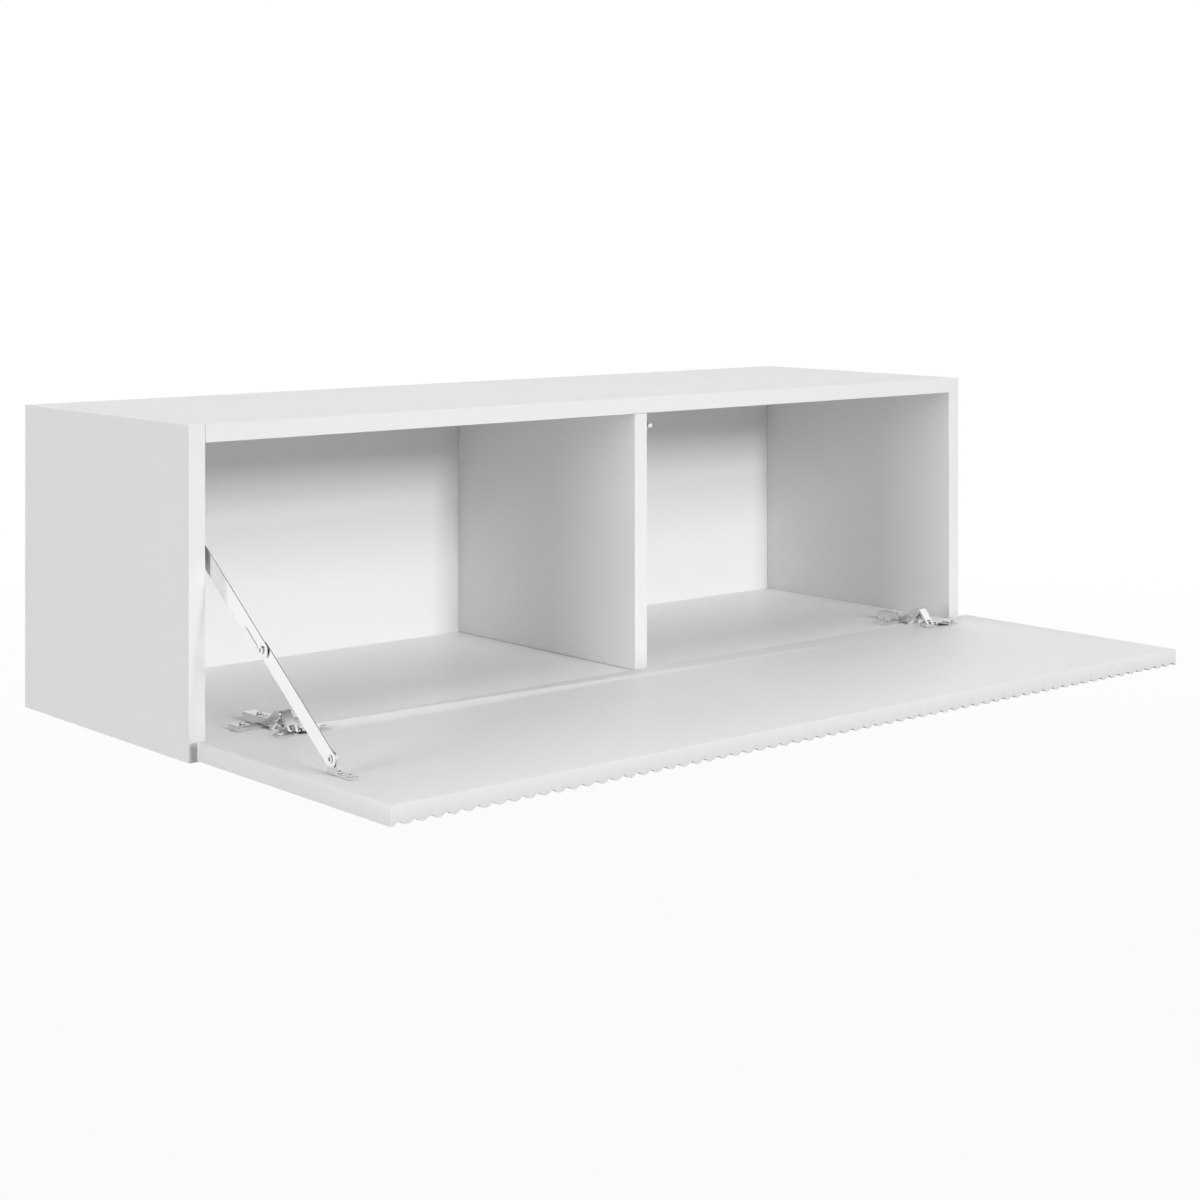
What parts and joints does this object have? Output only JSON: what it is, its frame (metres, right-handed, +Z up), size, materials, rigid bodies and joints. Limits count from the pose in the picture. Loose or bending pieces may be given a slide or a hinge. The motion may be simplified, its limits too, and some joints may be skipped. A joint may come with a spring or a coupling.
{
  "type": "floating media console",
  "caption": "Wall-hung white media cabinet with a divided bay and a fluted flap that folds down on concealed hinges, held level by a folding stay.",
  "frame": {"origin": "middle of the top panel's rear edge, in the plane of the wall", "axes": "+X along the width to the right, +Y into the wall, +Z up; the flap is drawn open towards -Y"},
  "size_m": [1, 0.6015, 0.289],
  "materials": {
    "white_lacquer": "white satin lacquer on board",
    "nickel_steel": "bright nickel-plated pressed steel",
    "zinc_plate": "zinc-plated steel, matt",
    "grey_plastic": "matt grey plastic",
    "beech": "bare beech"
  },
  "bodies": {
    "cabinet": {"side_panel_left": "white_lacquer", "side_panel_right": "white_lacquer", "top_panel": "white_lacquer", "floor_panel": "white_lacquer", "divider_panel": "white_lacquer", "back_panel": "white_lacquer", "hinge_left_plate": "nickel_steel", "hinge_left_arm": "nickel_steel", "hinge_left_fixing_screw": "nickel_steel", "hinge_left_adjusting_screw": "nickel_steel", "hinge_left_plate_screw_1": "nickel_steel", "hinge_left_plate_screw_2": "nickel_steel", "hinge_right_plate": "nickel_steel", "hinge_right_arm": "nickel_steel", "hinge_right_fixing_screw": "nickel_steel", "hinge_right_adjusting_screw": "nickel_steel", "hinge_right_plate_screw_1": "nickel_steel", "hinge_right_plate_screw_2": "nickel_steel", "stay_side_bracket": "nickel_steel", "stay_upper_rivet": "nickel_steel", "stay_side_screw_1": "nickel_steel", "stay_side_screw_2": "nickel_steel", "push_opener_housing": "grey_plastic", "push_opener_spring": "nickel_steel", "push_opener_screw": "nickel_steel", "wall_hanger_left": "zinc_plate", "wall_hanger_screw_left": "zinc_plate", "wall_hanger_right": "zinc_plate", "wall_hanger_screw_right": "zinc_plate", "cam_fitting_left_upper_front": "zinc_plate", "cam_fitting_left_upper_rear": "zinc_plate", "cam_fitting_left_lower_front": "zinc_plate", "cam_fitting_left_lower_rear": "zinc_plate", "cam_fitting_right_upper_front": "zinc_plate", "cam_fitting_right_upper_rear": "zinc_plate", "cam_fitting_right_lower_front": "zinc_plate", "cam_fitting_right_lower_rear": "zinc_plate", "divider_dowel_upper": "beech", "divider_dowel_lower": "beech"},
    "flap": {"flap_panel": "white_lacquer", "stay_flap_bracket": "nickel_steel", "stay_lower_rivet": "nickel_steel", "stay_flap_screw_1": "nickel_steel", "stay_flap_screw_2": "nickel_steel", "hinge_left_cup": "nickel_steel", "hinge_left_cup_pin": "nickel_steel", "hinge_left_cup_screw_1": "nickel_steel", "hinge_left_cup_screw_2": "nickel_steel", "hinge_right_cup": "nickel_steel", "hinge_right_cup_pin": "nickel_steel", "hinge_right_cup_screw_1": "nickel_steel", "hinge_right_cup_screw_2": "nickel_steel"},
    "stay_upper": {"stay_upper_bar": "nickel_steel", "stay_elbow_rivet": "nickel_steel"},
    "stay_lower": {"stay_lower_bar": "nickel_steel"},
    "plunger": {"push_opener_plunger": "nickel_steel"},
    "hinge_left_outer_link": {"hinge_left_outer_link": "nickel_steel"},
    "hinge_left_inner_link": {"hinge_left_inner_link": "nickel_steel"},
    "hinge_right_outer_link": {"hinge_right_outer_link": "nickel_steel"},
    "hinge_right_inner_link": {"hinge_right_inner_link": "nickel_steel"}
  },
  "joints": [
    {"name": "flap_hinge", "type": "hinge", "parent": "cabinet", "child": "flap", "pos_m": [0, -0.322, -0.2743], "axis": [-1, 0, 0], "range_deg": [0, 90]},
    {"name": "hinge_left_outer_pivot", "type": "hinge", "parent": "flap", "child": "hinge_left_outer_link", "pos_m": [-0.41, -0.3283, -0.2636], "axis": [1, 0, 0], "range_deg": [0, 144.3]},
    {"name": "hinge_left_inner_pivot", "type": "hinge", "parent": "flap", "child": "hinge_left_inner_link", "pos_m": [-0.41, -0.32441, -0.2634], "axis": [1, 0, 0], "range_deg": [0, 147.5]},
    {"name": "hinge_right_outer_pivot", "type": "hinge", "parent": "flap", "child": "hinge_right_outer_link", "pos_m": [0.425, -0.3283, -0.2636], "axis": [1, 0, 0], "range_deg": [0, 144.3]},
    {"name": "hinge_right_inner_pivot", "type": "hinge", "parent": "flap", "child": "hinge_right_inner_link", "pos_m": [0.425, -0.32441, -0.2634], "axis": [1, 0, 0], "range_deg": [0, 147.5]},
    {"name": "stay_top_pivot", "type": "hinge", "parent": "cabinet", "child": "stay_upper", "pos_m": [-0.48115, -0.29, -0.0985], "axis": [1, 0, 0], "range_deg": [0, 75.5]},
    {"name": "stay_foot_pivot", "type": "hinge", "parent": "flap", "child": "stay_lower", "pos_m": [-0.47895, -0.491, -0.2478], "axis": [1, 0, 0], "range_deg": [-11.1, 0]},
    {"name": "push_opener_slide", "type": "slide", "parent": "cabinet", "child": "plunger", "axis": [0, 1, 0], "range_m": [0, 0.003], "stiffness_N_per_m": 400, "springref_m": -0.003}
  ],
  "couplings": [
    {"joint": "hinge_left_outer_pivot", "follows": "flap_hinge", "ratio": 1.6025},
    {"joint": "hinge_left_inner_pivot", "follows": "flap_hinge", "ratio": 1.638},
    {"joint": "hinge_right_outer_pivot", "follows": "flap_hinge", "ratio": 1.6025},
    {"joint": "hinge_right_inner_pivot", "follows": "flap_hinge", "ratio": 1.638},
    {"joint": "stay_top_pivot", "follows": "flap_hinge", "ratio": 0.83779},
    {"joint": "stay_foot_pivot", "follows": "flap_hinge", "ratio": -0.12266}
  ]
}
